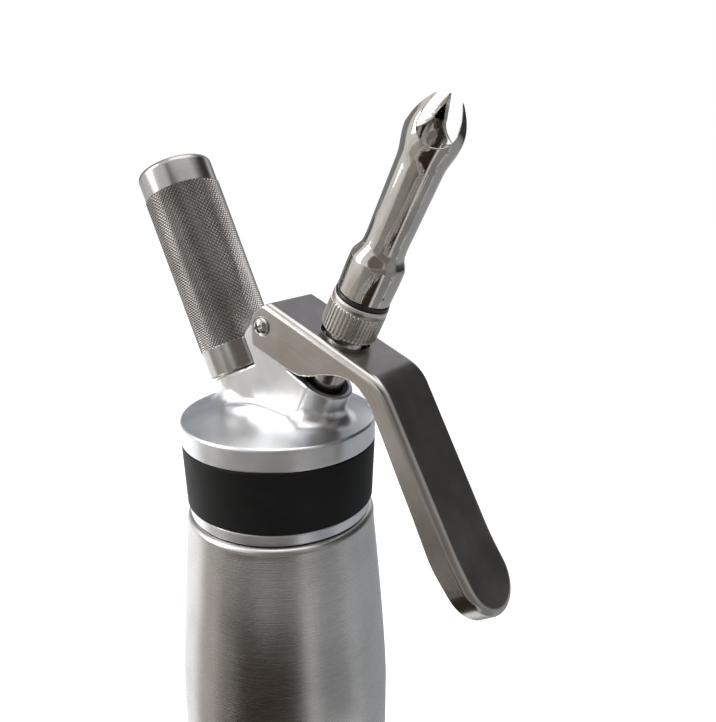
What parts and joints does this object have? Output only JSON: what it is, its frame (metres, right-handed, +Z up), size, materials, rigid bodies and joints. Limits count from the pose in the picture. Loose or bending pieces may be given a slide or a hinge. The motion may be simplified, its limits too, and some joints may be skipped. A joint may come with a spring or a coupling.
{
  "type": "whipped cream dispenser",
  "caption": "Steel bottle with a screw-on head that holds a gas charger holder, a sprung valve worked by a bent lever, and a star-tipped nozzle.",
  "frame": {"origin": "centre of the bottle's flat base", "axes": "+Z up along the bottle, +X towards the nozzle and the lever, the charger holder leans towards -X"},
  "size_m": [0.1492, 0.078, 0.3022],
  "materials": {
    "bottle_steel": "brushed round the body, satin",
    "head_metal": "fine satin",
    "band_rubber": "matte",
    "seal_rubber": "smooth",
    "gasket_rubber": "smooth",
    "thread_metal": "turned, plated",
    "pin_steel": "ground",
    "holder_metal": "polished with a diamond knurl",
    "stem_steel": "turned",
    "spring_steel": "drawn wire",
    "collar_steel": "turned",
    "nut_metal": "polished",
    "nozzle_metal": "polished",
    "lever_steel": "brushed, satin",
    "screw_steel": "turned"
  },
  "bodies": {
    "bottle": {"bottle": "bottle_steel"},
    "head": {"head_body": "head_metal", "grip_band": "band_rubber", "head_gasket": "gasket_rubber", "charger_stud": "thread_metal", "piercing_pin": "pin_steel", "charger_seal": "seal_rubber", "gas_valve_seal": "seal_rubber", "port_wiper": "seal_rubber", "valve_spring": "spring_steel"},
    "holder": {"charger_holder": "holder_metal"},
    "lever": {"lever": "lever_steel", "pivot_pin": "pin_steel", "pivot_screws": "screw_steel"},
    "valve": {"valve_stem": "stem_steel", "stem_o_rings": "seal_rubber", "poppet_seal": "seal_rubber", "stem_collar": "collar_steel", "valve_nut": "nut_metal", "nozzle_o_ring": "seal_rubber"},
    "nozzle": {"nozzle": "nozzle_metal"}
  },
  "joints": [
    {"name": "head_lift", "type": "slide", "parent": "bottle", "child": "head", "axis": [0, 0, 1], "range_m": [0, 0.03]},
    {"name": "holder_off", "type": "slide", "parent": "head", "child": "holder", "axis": [-0.4384, 0, 0.8988], "range_m": [0, 0.02]},
    {"name": "lever_press", "type": "hinge", "parent": "head", "child": "lever", "pos_m": [0.0046, 0, 0.2333], "axis": [0, 1, 0], "range_deg": [0, 8], "stiffness_Nm_per_rad": 1.6, "springref_deg": -8.59},
    {"name": "valve_slide", "type": "slide", "parent": "head", "child": "valve", "axis": [-0.4462, 0, -0.8949], "range_m": [0, 0.0033], "deforming": ["valve_spring"]},
    {"name": "nozzle_off", "type": "slide", "parent": "valve", "child": "nozzle", "axis": [0.4462, 0, 0.8949], "range_m": [0, 0.02]}
  ],
  "couplings": [
    {"joint": "valve_slide", "follows": "lever_press", "m_per_rad": 0.023}
  ]
}
